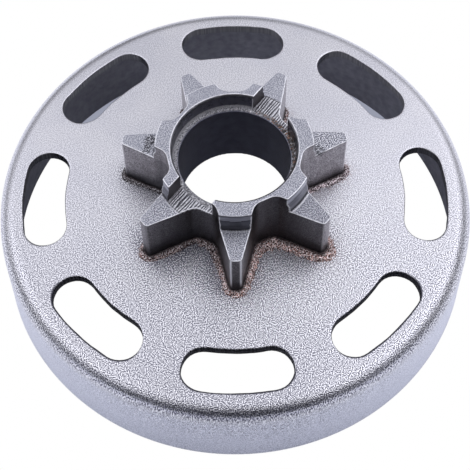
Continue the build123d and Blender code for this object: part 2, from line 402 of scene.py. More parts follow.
# ------------------------------------------------------------------ braze bead
def bead_width(p):
    """Width of the bead on the web; uneven round the sprocket, thin at the rear left."""
    ang = np.degrees(np.arctan2(p[:, 0], -p[:, 1]))          # 0 at the front, + to the right
    knots = np.array([-180, -150, -118, -100, -85, -64, -52, -40, -25, -10, 0, 12, 25, 40, 55, 66, 80, 95, 103, 115, 150, 180.0])
    wide = np.array([0.50, 0.55, 0.66, 0.68, 0.54, 0.54, 1.00, 0.85, 1.15, 1.12, 1.00, 1.15, 1.65, 1.45, 1.40, 1.00, 0.95, 0.95, 1.05, 0.80, 0.60, 0.50])
    w = np.interp(ang, knots, wide)
    flat = p * np.array([1, 1, 0])
    return w * (1 + 0.16 * noise3(flat, 2.2, 61) + 0.10 * noise3(flat, 0.8, 62) + 0.12 * noise3(flat, 0.35, 67))


GRAIN = 0.27


def bead_base(p):
    star, r, _ = plan(p[:, 0], p[:, 1])
    z0 = p[:, 2] - web_top(r)
    w = bead_width(p)
    hgt = 0.20 + 0.32 * w + 0.08 * noise3(p * np.array([1, 1, 0]), 1.5, 63)
    a, b = np.maximum(star, 0) / w, np.maximum(z0, 0) / hgt
    bulge = (a ** 1.2 + b ** 1.2 + 1e-9) ** (1 / 1.2) - 1.0
    return bulge * np.minimum(w, hgt) * 0.75, star, z0


def bead_sd(p):
    d, star, z0 = bead_base(p)
    near, _ = grains(p, GRAIN, 64)
    d = d - 0.07 * np.clip(0.62 - near, -0.35, 0.6) - 0.04 * noise3(p, 0.7, 66)
    d = np.maximum(d, -0.12 - star)
    return np.maximum(d, -0.10 - z0)


def build_bead():
    h = 0.112
    ax = [np.arange(-20.0, 20.0, h), np.arange(-20.4, 19.2, h), np.arange(15.6, 18.1, h)]
    n = [len(k) for k in ax]
    g = np.stack(np.meshgrid(*ax, indexing="ij"), -1).reshape(-1, 3)
    star = star2d(g[:, 0], g[:, 1])
    near = np.flatnonzero((star > -0.6) & (star < 2.4))
    field = np.full(len(g), 1.0, np.float32)
    coarse, st, z0 = bead_base(g[near])
    coarse = np.maximum(np.maximum(coarse, -0.12 - st), -0.10 - z0)
    field[near] = coarse
    fine = near[np.abs(coarse) < 0.26]
    field[fine] = bead_sd(g[fine])
    field = field.reshape(n)
    # no single loose or empty cells
    s = np.pad(field < 0, 1)
    around = sum(np.roll(s, d, k).astype(np.int8) for k in range(3) for d in (-1, 1))[1:-1, 1:-1, 1:-1]
    s = field < 0
    field[s & (around == 0)] = 0.05
    field[~s & (around == 6)] = -0.05
    v, q = largest_body(*surface_nets(field, ax))
    v = settle(bead_sd, v, 2)
    nrm = unit(gradient(bead_sd, v, 0.04))
    ob = make_object("braze_bead", v, q.tolist(), nrm)
    star, r, _ = plan(v[:, 0], v[:, 1])
    w = bead_width(v)
    set_attribute(ob, "spread", np.clip(star / w, 0, 1))
    dist, tone = grains(v, GRAIN, 64)
    set_attribute(ob, "gap", np.clip((dist - 0.44) / 0.30, 0, 1))
    set_attribute(ob, "tone", tone)
    set_attribute(ob, "warm", bead_warmth(v))
    set_attribute(ob, "pink", np.interp(np.degrees(np.arctan2(v[:, 0], -v[:, 1])), [62, 76, 100, 112], [0.0, 1.0, 1.0, 0.2]))
    return ob


def bead_warmth(p):
    ang = np.degrees(np.arctan2(p[:, 0], -p[:, 1]))
    return np.interp(ang, [-180, -120, -75, -58, -45, -20, 0, 20, 50, 75, 110, 180], [0.3, 0.08, 0.0, 0.60, 0.36, 0.30, 0.90, 0.95, 1.0, 0.9, 0.80, 0.3])


# ------------------------------------------------------------------ drum
def arc_points(cx, cz, rad, a0, a1, n):
    t = np.linspace(a0, a1, n)
    return [(cx + rad * math.sin(k), cz + rad * math.cos(k)) for k in t]


def corner_arc(p_prev, p, p_next, rad, n):
    """Points of a fillet at p between two straight lines (r, z)."""
    a = np.array(p_prev, float) - p
    b = np.array(p_next, float) - p
    a /= np.linalg.norm(a)
    b /= np.linalg.norm(b)
    ang = math.acos(float(a @ b))
    t = rad / math.tan(ang / 2)
    c = np.array(p) + (a + b) / np.linalg.norm(a + b) * rad / math.sin(ang / 2)
    s, e = np.array(p) + a * t - c, np.array(p) + b * t - c
    out = []
    full = math.acos(max(-1, min(1, float(s @ e) / rad ** 2)))
    for k in np.linspace(0, 1, n):
        out.append(tuple(c + (math.sin((1 - k) * full) * s + math.sin(k * full) * e) / math.sin(full)))
    return out


def build_drum():
    cap, n_long = 16, 28
    a = math.radians(SLOT_HALF_DEG)
    ro, ri = SLOT_R + SLOT_HALF_W, SLOT_R - SLOT_HALF_W
    pts, nor = [], []
    for t in np.linspace(-a, a, n_long, endpoint=False):
        pts.append((ro * math.cos(t), ro * math.sin(t)))
        nor.append((math.cos(t), math.sin(t)))
    for t in np.linspace(0, math.pi, cap, endpoint=False):
        d = (math.cos(a + t), math.sin(a + t))
        pts.append((SLOT_R * math.cos(a) + SLOT_HALF_W * d[0], SLOT_R * math.sin(a) + SLOT_HALF_W * d[1]))
        nor.append(d)
    for t in np.linspace(a, -a, n_long, endpoint=False):
        pts.append((ri * math.cos(t), ri * math.sin(t)))
        nor.append((-math.cos(t), -math.sin(t)))
    for t in np.linspace(math.pi, 2 * math.pi, cap, endpoint=False):
        d = (math.cos(-a + t), math.sin(-a + t))
        pts.append((SLOT_R * math.cos(a) + SLOT_HALF_W * d[0], -SLOT_R * math.sin(a) + SLOT_HALF_W * d[1]))
        nor.append(d)
    pts, nor = np.array(pts), np.array(nor)
    m = len(pts)
    half = math.radians(180.0 / SLOT_COUNT)
    rb_o, rb_i = 34.25, 25.4
    q = cap // 4
    edge_o = [(rb_o, t) for t in np.linspace(-half, half, n_long + 2 * q, endpoint=False)]
    edge_r = [(r, half) for r in np.linspace(rb_o, rb_i, cap - 2 * q, endpoint=False)]
    edge_i = [(rb_i, t) for t in np.linspace(half, -half, n_long + 2 * q, endpoint=False)]
    edge_l = [(r, -half) for r in np.linspace(rb_i, rb_o, cap - 2 * q, endpoint=False)]
    border = np.array(edge_o + edge_r + edge_i + edge_l)
    border = np.roll(border, -q, axis=0)          # first point belongs to the start of the outer arc
    border = np.stack([border[:, 0] * np.cos(border[:, 1]), border[:, 0] * np.sin(border[:, 1])], 1)

    verts, faces, inner, slot_wall_shade = [], [], [], []

    def add(points, inside, dark=0.0):
        start = len(verts)
        verts.extend(points)
        inner.extend([inside] * len(points))
        slot_wall_shade.extend(np.broadcast_to(dark, len(points)).tolist())
        return start

    def strip(i0, i1, count, flip=False):
        for j in range(count):
            k = (j + 1) % count
            f = (i0 + j, i0 + k, i1 + k, i1 + j)
            faces.append(f[::-1] if flip else f)

    n_fill = 7
    for k in range(SLOT_COUNT):
        rot = 2 * math.pi * k / SLOT_COUNT
        c, s = math.cos(rot), math.sin(rot)
        turn = np.array([[c, s], [-s, c]])
        base = pts @ turn
        nk = nor @ turn
        p3 = np.concatenate([base, np.zeros((m, 1))], 1)
        wob = 0.045 * noise3(p3, 2.6, 71) + 0.025 * noise3(p3, 0.9, 72)
        base = base + nk * wob[:, None]
        bk = border @ turn

        def ring(xy, dz, inside, dark=0.0):
            r = np.hypot(xy[:, 0], xy[:, 1])
            return add([(x, y, float(web_top(rr)) + dz) for (x, y), rr in zip(xy, r)], inside, dark)

        rings = []
        for f in np.linspace(1, 0, n_fill + 1):
            f2 = f ** 1.3
            rings.append((base + nk * 0.1 * 0) * (1 - f2) + bk * f2)
        low = [ring(x, -SHEET_T, 1.0) for x in rings]            # border to slot edge, underside
        # painted shade on the punched slot walls, darkest on the front slots
        black = np.interp(base[:, 1], [4.0, 18.0], [1.0, 0.35])
        wall = [ring(base, -SHEET_T + 0.02, 0.4, black), ring(base, -0.9, 0.0, black), ring(base, -SLOT_EDGE, 0.0, black)]
        # painted shade along the outer edges of the front slots
        lip = np.clip((np.hypot(base[:, 0], base[:, 1]) - SLOT_R) / 1.5, 0, 1) * np.clip((-4.0 - base[:, 1]) / 6.0, 0, 1)
        roll = []
        e = SLOT_EDGE * (1 + 0.3 * noise3(p3, 1.7, 73))
        for t, dk in zip(np.linspace(0.25, 1, 4) * math.pi / 2, (1.0, 1.0, 0.8, 0.15)):
            xy = base + nk * (e * (1 - math.cos(t)))[:, None]
            r = np.hypot(xy[:, 0], xy[:, 1])
            roll.append(add([(x, y, float(web_top(rr)) - SLOT_EDGE * (1 - math.sin(t))) for (x, y), rr in zip(xy, r)], 0.0, np.maximum(dk * lip, 0.0)))
        edge_xy = base + nk * e[:, None]
        tops = []
        for f in np.linspace(0, 1, n_fill + 1)[1:]:
            f2 = f ** 1.3
            tops.append(ring(edge_xy * (1 - f2) + bk * f2, 0.0, 0.0))
        chain = low + wall + roll + tops
        for i0, i1 in zip(chain[:-1], chain[1:]):
            strip(i0, i1, m, flip=True)

    # turned part: outside, rim, inside
    seg = (n_long + 2 * q) * SLOT_COUNT
    sharp_out = np.array([DRUM_R_TOP, web_top(DRUM_R_TOP)])
    sharp_in = np.array([DRUM_IN_R, web_top(DRUM_IN_R) - SHEET_T])
    prof = [(rb_o, web_top(rb_o))]
    prof += corner_arc((rb_o, web_top(rb_o)), sharp_out, (DRUM_R, 0.0), BEND_R, 15)
    prof += [(DRUM_R - (DRUM_R - DRUM_R_TOP) * z / 14.61, z) for z in np.linspace(11.5, 0.9, 10)]
    prof += corner_arc(sharp_out, np.array([DRUM_R, 0.0]), (DRUM_IN_R, 0.0), RIM_ROUND, 5)
    n_out = len(prof)
    prof += corner_arc((DRUM_R, 0.0), np.array([DRUM_IN_R, 0.0]), sharp_in, RIM_ROUND, 5)
    prof += [(DRUM_IN_R, z) for z in np.linspace(1.0, 11.2, 7)]
    prof += corner_arc((DRUM_IN_R, 0.0), sharp_in, (rb_o, web_top(rb_o) - SHEET_T), BEND_IN_R, 8)
    prof += [(rb_o, web_top(rb_o) - SHEET_T)]
    ang = -half + 2 * math.pi * np.arange(seg) / seg
    starts = []
    for i, (r, z) in enumerate(prof):
        starts.append(add([(r * math.cos(t), r * math.sin(t), z) for t in ang], 0.0 if i < n_out else 1.0))
    for i0, i1 in zip(starts[:-1], starts[1:]):
        strip(i0, i1, seg, flip=True)

    # middle of the web, top and underside, down to the hole for the hub
    hole = SPIGOT_R + 0.02
    radii = list(np.linspace(rb_i, hole, 30))
    starts = [add([(r * math.cos(t), r * math.sin(t), float(web_top(r))) for t in ang], 0.0) for r in radii]
    starts += [add([(r * math.cos(t), r * math.sin(t), float(web_top(r)) - SHEET_T) for t in ang], 1.0) for r in radii[::-1]]
    for i0, i1 in zip(starts[:-1], starts[1:]):
        strip(i0, i1, seg)

    verts = np.array(verts)
    # weld the patches
    key = np.round(verts * 2000).astype(np.int64)
    _, first, back = np.unique(key, axis=0, return_index=True, return_inverse=True)
    back = back.reshape(-1)
    verts = verts[first]
    inner, slot_wall_shade = np.array(inner)[first], np.array(slot_wall_shade)[first]
    faces = [[int(back[i]) for i in f] for f in faces]
    faces = [f for f in faces if len(set(f)) == len(f)]
    r = np.hypot(verts[:, 0], verts[:, 1])
    # slight unevenness of the pressing
    wave = 0.03 * noise3(verts * np.array([1, 1, 0.2]), 13.0, 81) + 0.014 * noise3(verts, 5.0, 82)
    on_web = np.clip((34.0 - r) / 3.0, 0, 1) * (verts[:, 2] > 10)
    verts[:, 2] += wave * on_web
    rad = 0.03 * noise3(verts, 9.0, 83) - 0.03
    on_wall = np.clip((r - 35.6) / 0.6, 0, 1) * (verts[:, 2] > 0.5) * (verts[:, 2] < 12.5)
    verts[:, :2] *= (1 + rad * on_wall / np.maximum(r, 1))[:, None]
    r = np.hypot(verts[:, 0], verts[:, 1])
    ob = make_object("drum_shell", verts, faces)
    ob.data.set_sharp_from_angle(angle=math.radians(38))
    set_attribute(ob, "inside", inner)
    set_attribute(ob, "slot_wall_shade", slot_wall_shade)
    # darker web close to the braze, partly discoloured by the brazing and partly painted shade from the sprocket, most
    # of all in the front gullets
    ang = np.degrees(np.arctan2(verts[:, 0], -verts[:, 1]))
    stain_and_shade_by_angle = np.interp(ang, [-180, -120, -95, -70, -40, -20, 0, 20, 40, 70, 100, 130, 180], [0.15, 0.25, 0.45, 0.75, 1.15, 1.30, 0.80, 0.62, 0.54, 0.32, 0.2, 0.12, 0.15])
    star = star2d(verts[:, 0], verts[:, 1])
    near = np.exp(-np.maximum(star - 1.5, 0) / 2.1)
    stain_and_shade_by_angle = stain_and_shade_by_angle * (1 - 0.75 * np.clip((r - 17.4) / 1.6, 0, 1))
    set_attribute(ob, "stain_and_shade", np.clip(stain_and_shade_by_angle * near, 0, 1.2) * (inner < 0.5))
    set_attribute(ob, "specks", bead_warmth(verts) * np.exp(-np.maximum(star - bead_width(verts), 0) / 0.6) * (inner < 0.5))
    grit = np.interp(ang, [-130, -110, -62, -55, 35, 45, 75, 85], [0.0, 0.9, 0.9, 0.0, 0.0, 0.55, 0.55, 0.0])
    set_attribute(ob, "grit", grit * np.exp(-np.maximum(star - bead_width(verts), 0) / np.where(ang < 0, 0.75, 1.8)) * (inner < 0.5))
    return ob


# ------------------------------------------------------------------ node helpers
def new_material(name):
    m = bpy.data.materials.new(name)
    m.use_nodes = True
    nt = m.node_tree
    nt.nodes.clear()
    out = nt.nodes.new("ShaderNodeOutputMaterial")
    sh = nt.nodes.new("ShaderNodeBsdfPrincipled")
    nt.links.new(sh.outputs["BSDF"], out.inputs["Surface"])
    return m, nt, sh


class Nodes:
    def __init__(self, nt):
        self.nt = nt
        self.tc = nt.nodes.new("ShaderNodeTexCoord")

    def link(self, a, b):
        self.nt.links.new(a, b)

    @property
    def pos(self):
        return self.tc.outputs["Object"]

    def _in(self, sock, v):
        if hasattr(v, "is_linked"):
            self.nt.links.new(v, sock)
        else:
            sock.default_value = v

    def noise(self, size_mm, detail=2.0, rough=0.5, vec=None, distortion=0.0):
        n = self.nt.nodes.new("ShaderNodeTexNoise")
        n.inputs["Scale"].default_value = 1000.0 / size_mm
        n.inputs["Detail"].default_value = detail
        n.inputs["Roughness"].default_value = rough
        n.inputs["Distortion"].default_value = distortion
        self.link(vec or self.pos, n.inputs["Vector"])
        return n.outputs["Fac"]

    def plane_noise(self, size_mm, detail=0.0):
        """Noise that depends on x and y only."""
        n = self.nt.nodes.new("ShaderNodeTexNoise")
        n.noise_dimensions = "2D"
        n.inputs["Scale"].default_value = 1000.0 / size_mm
        n.inputs["Detail"].default_value = detail
        self.link(self.pos, n.inputs["Vector"])
        return n.outputs["Fac"]

    def bands(self, period_mm, vec, distortion, detail=2.0):
        n = self.nt.nodes.new("ShaderNodeTexWave")
        n.wave_type = "BANDS"
        n.bands_direction = "Y"
        n.wave_profile = "SIN"
        n.inputs["Scale"].default_value = 2 * math.pi / 20.0 / (period_mm * MM)
        n.inputs["Distortion"].default_value = distortion
        n.inputs["Detail"].default_value = detail
        n.inputs["Detail Scale"].default_value = 1.0
        self.link(vec, n.inputs["Vector"])
        return n.outputs["Fac"]

    def hyp(self, a, b):
        return self.math("SQRT", self.math("ADD", self.math("MULTIPLY", a, a), self.math("MULTIPLY", b, b)))

    def voronoi(self, size_mm, vec=None, feature="F1"):
        n = self.nt.nodes.new("ShaderNodeTexVoronoi")
        n.feature = feature
        n.inputs["Scale"].default_value = 1000.0 / size_mm
        self.link(vec or self.pos, n.inputs["Vector"])
        return n.outputs["Distance"]

    def attr(self, name):
        n = self.nt.nodes.new("ShaderNodeAttribute")
        n.attribute_name = name
        return n.outputs["Fac"]

    def math(self, op, a, b=0.0, c=0.0, clamp=False):
        n = self.nt.nodes.new("ShaderNodeMath")
        n.operation = op
        n.use_clamp = clamp
        self._in(n.inputs[0], a)
        self._in(n.inputs[1], b)
        if len(n.inputs) > 2:
            self._in(n.inputs[2], c)
        return n.outputs[0]

    def remap(self, v, a, b, c=0.0, d=1.0, smooth=False):
        n = self.nt.nodes.new("ShaderNodeMapRange")
        n.interpolation_type = "SMOOTHSTEP" if smooth else "LINEAR"
        n.clamp = True
        self._in(n.inputs["Value"], v)
        for name, x in (("From Min", a), ("From Max", b), ("To Min", c), ("To Max", d)):
            n.inputs[name].default_value = x
        return n.outputs["Result"]

    def mix(self, fac, a, b):
        n = self.nt.nodes.new("ShaderNodeMix")
        n.data_type = "RGBA"
        self._in(n.inputs["Factor"], fac)
        ins = [s for s in n.inputs if s.type == "RGBA"]
        for sock, v in zip(ins, (a, b)):
            if isinstance(v, (tuple, list)):
                v = tuple(v) + ((1.0,) if len(v) == 3 else ())
            self._in(sock, v)
        return [s for s in n.outputs if s.type == "RGBA"][0]

    def sep(self, v=None):
        n = self.nt.nodes.new("ShaderNodeSeparateXYZ")
        self.link(v or self.pos, n.inputs[0])
        return n.outputs

    def scaled(self, scale, rot_z=0.0):
        n = self.nt.nodes.new("ShaderNodeMapping")
        n.inputs["Scale"].default_value = scale
        n.inputs["Rotation"].default_value = (0, 0, rot_z)
        self.link(self.pos, n.inputs["Vector"])
        return n.outputs["Vector"]

    def turned_scaled(self, rot_z, scale):
        """The position turned about Z first and then stretched."""
        a = self.nt.nodes.new("ShaderNodeMapping")
        a.inputs["Rotation"].default_value = (0, 0, rot_z)
        self.link(self.pos, a.inputs["Vector"])
        b = self.nt.nodes.new("ShaderNodeMapping")
        b.inputs["Scale"].default_value = scale
        self.link(a.outputs["Vector"], b.inputs["Vector"])
        return b.outputs["Vector"]

    def bump(self, height, distance_mm, strength=1.0, normal=None):
        n = self.nt.nodes.new("ShaderNodeBump")
        n.inputs["Distance"].default_value = distance_mm * MM
        self._in(n.inputs["Strength"], strength)
        self.link(height, n.inputs["Height"])
        if normal is not None:
            self.link(normal, n.inputs["Normal"])
        return n.outputs["Normal"]


def drum_material():
    m, nt, sh = new_material("drum_steel_finish")
    g = Nodes(nt)
    x, y, z = g.sep()
    inside = g.attr("inside")
    # fine blasted grain, strongest on the web's front half and the bend, soft on the wall
    front = g.remap(y, -0.026, 0.016, 1.0, 0.30, smooth=True)
    wall = g.remap(z, 0.0035, 0.0125, 0.48, 1.0, smooth=True)
    rr = g.math("SQRT", g.math("ADD", g.math("MULTIPLY", x, x), g.math("MULTIPLY", y, y)))
    bend = g.math("MULTIPLY", g.remap(rr, 0.0338, 0.0353, smooth=True), g.remap(z, 0.0100, 0.0124, smooth=True))
    amount = g.math("MULTIPLY", g.math("MULTIPLY", front, wall), g.math("ADD", 1.0, g.math("MULTIPLY", bend, 0.15)))
    skirt = g.remap(z, 0.0142, 0.0120, smooth=True)
    amount = g.math("MULTIPLY", amount, g.math("SUBTRACT", 1.0, g.math("MULTIPLY", skirt, g.remap(g.math("ABSOLUTE", x), 0.008, 0.032, 0.0, 0.45))))
    stain_and_shade = g.attr("stain_and_shade")
    amount = g.math("MULTIPLY", amount, g.math("ADD", 1.0, g.math("MULTIPLY", stain_and_shade, 0.9)))
    flat = g.remap(z, 0.0118, 0.0138, smooth=True)
    grain = g.math("ADD", g.math("MULTIPLY", g.plane_noise(0.165), flat),
                   g.math("MULTIPLY", g.noise(0.185, 1.0, 0.5), g.math("SUBTRACT", 1.0, flat)))
    n1 = g.bump(grain, 0.040, amount)
    broad = g.noise(7.0, 2.0, 0.5)
    n2 = g.bump(broad, 0.08, 0.3, n1)
    g.link(n2, sh.inputs["Normal"])
    # colour: pale grey, bluer down the wall, darker in the pits, faint cloudiness
    cloud = g.noise(9.0, 3.0, 0.55)
    c0 = g.mix(g.remap(cloud, 0.35, 0.65), (0.570, 0.570, 0.597), (0.632, 0.628, 0.642))
    c0 = g.mix(g.remap(z, 0.0140, 0.0105, smooth=True), c0, (0.580, 0.600, 0.684))
    # painted highlight along the bend at the front, bluish white, fading out to the sides
    band = g.math("MULTIPLY", g.math("MULTIPLY", g.remap(z, 0.0129, 0.0135), g.remap(z, 0.0146, 0.0140)), g.math("MULTIPLY", g.remap(rr, 0.0356, 0.0362), g.remap(y, -0.010, -0.020)))
    c0 = g.mix(g.math("MULTIPLY", band, g.remap(g.math("ABSOLUTE", x), 0.030, 0.023, 0.0, 0.8)), c0, g.mix(g.remap(g.math("ABSOLUTE", x), 0.007, 0.017), (0.70, 0.70, 0.88), (0.87, 0.88, 1.0)))
    # painted shade on the middle of the web and bend at the front
    front_shade = g.math("MULTIPLY", g.remap(y, -0.018, -0.034, 0.0, 0.32), g.remap(g.math("ABSOLUTE", x), 0.017, 0.006, smooth=True))
    front_shade = g.math("MULTIPLY", front_shade, g.remap(z, 0.0122, 0.0136))
    c0 = g.mix(front_shade, c0, (0.2, 0.2, 0.22))
    # darken the web near the braze: discolouring plus painted shade from the sprocket
    c0 = g.mix(g.math("MULTIPLY", stain_and_shade, 0.78, clamp=True), c0, (0.078, 0.083, 0.110))
    speck = g.math("MULTIPLY", g.remap(grain, 0.525, 0.335), amount)
    c1 = g.mix(g.math("MULTIPLY", speck, 1.0, clamp=True), c0, (0.12, 0.12, 0.155))
    bright = g.math("MULTIPLY", g.remap(grain, 0.525, 0.69), g.math("MULTIPLY", amount, g.math("SUBTRACT", 1.0, g.math("MULTIPLY", stain_and_shade, 0.45))))
    c2 = g.mix(g.math("MULTIPLY", bright, 0.95, clamp=True), c1, (0.95, 0.95, 0.97))
    dots = g.math("MULTIPLY", g.attr("specks"), g.remap(g.noise(0.24, 2.0, 0.6), 0.50, 0.62))
    c2 = g.mix(g.math("MULTIPLY", dots, 0.9), c2, (0.20, 0.10, 0.078))
    c2 = g.mix(g.math("MULTIPLY", g.attr("grit"), g.remap(grain, 0.52, 0.40)), c2, (0.030, 0.030, 0.038))
    # painted shade on the inner surfaces, deepening towards the left
    c3 = g.mix(inside, c2, g.mix(g.remap(g.noise(1.2, 3.0, 0.6), 0.35, 0.7), (0.33, 0.33, 0.385), (0.47, 0.47, 0.525)))
    c3 = g.mix(g.math("MULTIPLY", inside, g.remap(x, 0.004, -0.022, 0.0, 0.30)), c3, (0.06, 0.06, 0.075))
    fold = g.math("MAXIMUM", g.math("SUBTRACT", g.math("PINGPONG", g.math("ARCTAN2", y, x), math.pi / SLOT_COUNT), math.radians(SLOT_HALF_DEG)), 0.0)
    rmm = g.math("MULTIPLY", rr, 1000.0)
    far2 = g.math("SUBTRACT", g.math("ADD", g.math("MULTIPLY", rmm, rmm), SLOT_R * SLOT_R), g.math("MULTIPLY", g.math("MULTIPLY", rmm, 2 * SLOT_R), g.math("COSINE", fold)))
    from_slot = g.math("SUBTRACT", g.math("SQRT", g.math("MAXIMUM", far2, 0.0)), SLOT_HALF_W)
    # painted shade along the outer edges of the front slots
    lip = g.math("MULTIPLY", g.remap(from_slot, 0.36, 0.22), g.math("MULTIPLY", g.remap(rmm, SLOT_R + 0.3, SLOT_R + 2.0), g.remap(y, -0.004, -0.012)))
    c3 = g.mix(g.math("MULTIPLY", lip, g.math("SUBTRACT", 1.0, inside)), c3, (0.06, 0.06, 0.075))
    # painted shade on the slot walls and along the front slot edges
    c3 = g.mix(g.attr("slot_wall_shade"), c3, g.mix(g.remap(grain, 0.4, 0.6), (0.030, 0.030, 0.038), (0.070, 0.070, 0.082)))
    g.link(c3, sh.inputs["Base Color"])
    rough = g.math("ADD", g.remap(cloud, 0.3, 0.7, 0.27, 0.33), g.math("MULTIPLY", speck, 0.10))
    rough = g.math("ADD", rough, g.math("MULTIPLY", inside, 0.15))
    g.link(rough, sh.inputs["Roughness"])
    sh.inputs["Metallic"].default_value = 1.0
    return m


def sprocket_material():
    m, nt, sh = new_material("sprocket_steel_finish")
    g = Nodes(nt)
    x, y, z = g.sep()
    wear = g.attr("edge_wear")
    crease_shade_mask = g.attr("crease_shade")
    up = g.attr("up_face")
    bore = g.attr("bore")
    ledge = g.attr("ledge")
    milled = g.attr("milled")
    counter = g.attr("counter")
    pitted = g.attr("pitted")
    turned = g.attr("turned")
    cheek = g.attr("cheek")
    grain = g.noise(0.185, 1.0, 0.5)
    speckle = g.plane_noise(0.165)
    mottle = g.noise(1.6, 3.0, 0.55)
    # faint vertical drag marks on the flanks, turning lines on the collar, ridges in the cross slot
    drag = g.noise(0.45, 2.0, 0.6, vec=g.scaled((1.0, 1.0, 0.07)))
    lines = g.noise(0.16, 1.0, 0.5, vec=g.scaled((0.03, 0.03, 1.0)))
    ridges = g.bands(0.42, g.turned_scaled(-_cd, (0.25, 1.0, 1.0)), 6.5)
    xm, ym, zm = (g.math("MULTIPLY", k, 1000.0) for k in (x, y, z))
    rm = g.hyp(xm, ym)
    sm = g.math("ADD", g.math("MULTIPLY", xm, -math.sin(_cd)), g.math("MULTIPLY", ym, math.cos(_cd)))
    outline = g.attr("outline")
    high = g.math("SUBTRACT", zm, COLLAR_TOP)
    # distance from the edges of the tooth tops, the collar, its mouth, the cross slot and the tooth tips
    e_tooth = g.math("MAXIMUM", g.hyp(outline, g.math("SUBTRACT", zm, TOOTH_TOP)), g.math("MULTIPLY", g.math("SUBTRACT", 12.2, rm), 4.0))
    e_collar = g.hyp(g.math("MAXIMUM", outline, g.math("SUBTRACT", rm, COLLAR_R_TURNED)), high)
    e_mouth = g.hyp(g.math("SUBTRACT", rm, COUNTERBORE_R + MOUTH), high)
    e_slot = g.hyp(g.math("SUBTRACT", g.math("ABSOLUTE", sm), CROSS_SLOT_HALF_W), high)
    e_tip = g.hyp(g.math("SUBTRACT", g.attr("tip_u"), TIP_HALF_W), g.math("SUBTRACT", g.attr("tip_v"), TIP_R))
    back = g.remap(ym, -8.0, -4.0, smooth=True)
    # painted highlight lines along these edges; the collar line is weaker at the very front, the mouth line shows only
    # at the back, the tip lines follow tip_lit
    line = g.remap(g.math("MINIMUM", e_tooth, e_slot), 0.185, 0.085)
    line = g.math("MAXIMUM", line, g.math("MULTIPLY", g.remap(e_collar, 0.170, 0.085), g.remap(ym, -11.7, -10.6, 0.30, 1.0)))
    line = g.math("MAXIMUM", line, g.math("MULTIPLY", g.remap(e_mouth, 0.125, 0.060), g.math("MULTIPLY", back, 0.72)))
    line = g.math("MULTIPLY", line, g.remap(g.noise(0.9, 2.0, 0.6), 0.36, 0.54, 0.60, 1.0))
    # painted highlight on the turned ring on the tooth tops, just outside the collar, strongest at the right front
    ring = g.math("MULTIPLY", g.remap(g.hyp(g.math("SUBTRACT", rm, 12.63), g.math("SUBTRACT", zm, TOOTH_TOP)), 0.15, 0.07), g.remap(outline, -0.25, -0.35))
    ring = g.math("MULTIPLY", ring, g.math("MULTIPLY", g.remap(ym, -1.5, -4.0), g.remap(xm, 4.0, 8.0, 0.25, 0.75)))
    line = g.math("MAXIMUM", line, ring)
    line = g.math("MAXIMUM", line, g.math("MULTIPLY", g.remap(e_tip, 0.33, 0.18), g.attr("tip_lit")))
    # a thin dark line under the bright edges
    halo = g.math("MAXIMUM", g.remap(e_collar, 0.40, 0.24), g.remap(g.math("MINIMUM", e_tooth, e_slot), 0.36, 0.20))
    halo = g.math("MULTIPLY", g.math("MULTIPLY", halo, g.math("SUBTRACT", 1.0, up)), g.math("SUBTRACT", 1.0, line))
    low = g.remap(z, 0.0272, 0.0284, smooth=True)          # 0 on the tooth tops, 1 on the collar top
    coarse = g.math("MULTIPLY", g.remap(low, 0.0, 1.0, 0.95, 0.66), g.remap(x, -0.0145, -0.0115, 0.60, 1.0, smooth=True))
    coarse = g.math("MULTIPLY", coarse, g.remap(x, 0.0115, 0.0135, 1.0, 1.4, smooth=True))
    coarse = g.math("MULTIPLY", coarse, g.remap(y, 0.003, 0.009, 1.0, 0.62, smooth=True))
    top_c = g.mix(g.remap(mottle, 0.35, 0.65), (0.326, 0.334, 0.374), (0.396, 0.403, 0.442))
    top_c = g.mix(g.math("MULTIPLY", g.remap(speckle, 0.53, 0.35), g.math("MULTIPLY", coarse, 0.85)), top_c, (0.10, 0.10, 0.125))
    top_c = g.mix(g.math("MULTIPLY", g.remap(speckle, 0.54, 0.71), g.math("MULTIPLY", coarse, 0.75)), top_c, (0.80, 0.80, 0.82))
    top_c = g.mix(g.math("MULTIPLY", g.attr("top_darkening"), 0.17), top_c, (0.10, 0.10, 0.12))
    side_c = g.mix(g.remap(drag, 0.35, 0.65), (0.410, 0.388, 0.410), (0.500, 0.476, 0.496))
    side_c = g.mix(g.remap(grain, 0.54, 0.36, 0.0, 0.75), side_c, (0.12, 0.11, 0.12))
    side_c = g.mix(g.remap(grain, 0.55, 0.72, 0.0, 0.6), side_c, (0.74, 0.72, 0.74))
    side_c = g.mix(g.remap(mottle, 0.52, 0.36, 0.0, 0.40), side_c, (0.16, 0.145, 0.150))
    # painted shade and painted dark reflection on the flanks
    side_c = g.mix(g.math("MULTIPLY", g.attr("flank_shade"), 0.88), side_c, (0.030, 0.029, 0.036))
    side_c = g.mix(turned, side_c, g.mix(g.remap(lines, 0.35, 0.65), (0.30, 0.305, 0.350), (0.46, 0.465, 0.52)))
    side_c = g.mix(g.math("MULTIPLY", turned, g.remap(zm, 28.55, 29.12, 0.0, 0.55)), side_c, (0.10, 0.10, 0.125))
    # painted highlight on the turned lines, brighter towards the right
    side_c = g.mix(g.math("MULTIPLY", turned, g.remap(xm, 4.0, 8.0, 0.0, 0.35)), side_c, g.mix(g.remap(lines, 0.40, 0.60), (0.42, 0.42, 0.47), (0.86, 0.86, 0.90)))
    # collar wall below the step: painted shade, lifted by painted light on the sides
    under_c = g.mix(g.remap(mottle, 0.35, 0.65), (0.064, 0.065, 0.078), (0.098, 0.099, 0.116))
    under_c = g.mix(g.attr("under_lit"), under_c, g.mix(g.remap(lines, 0.40, 0.60), (0.29, 0.29, 0.325), (0.43, 0.43, 0.47)))
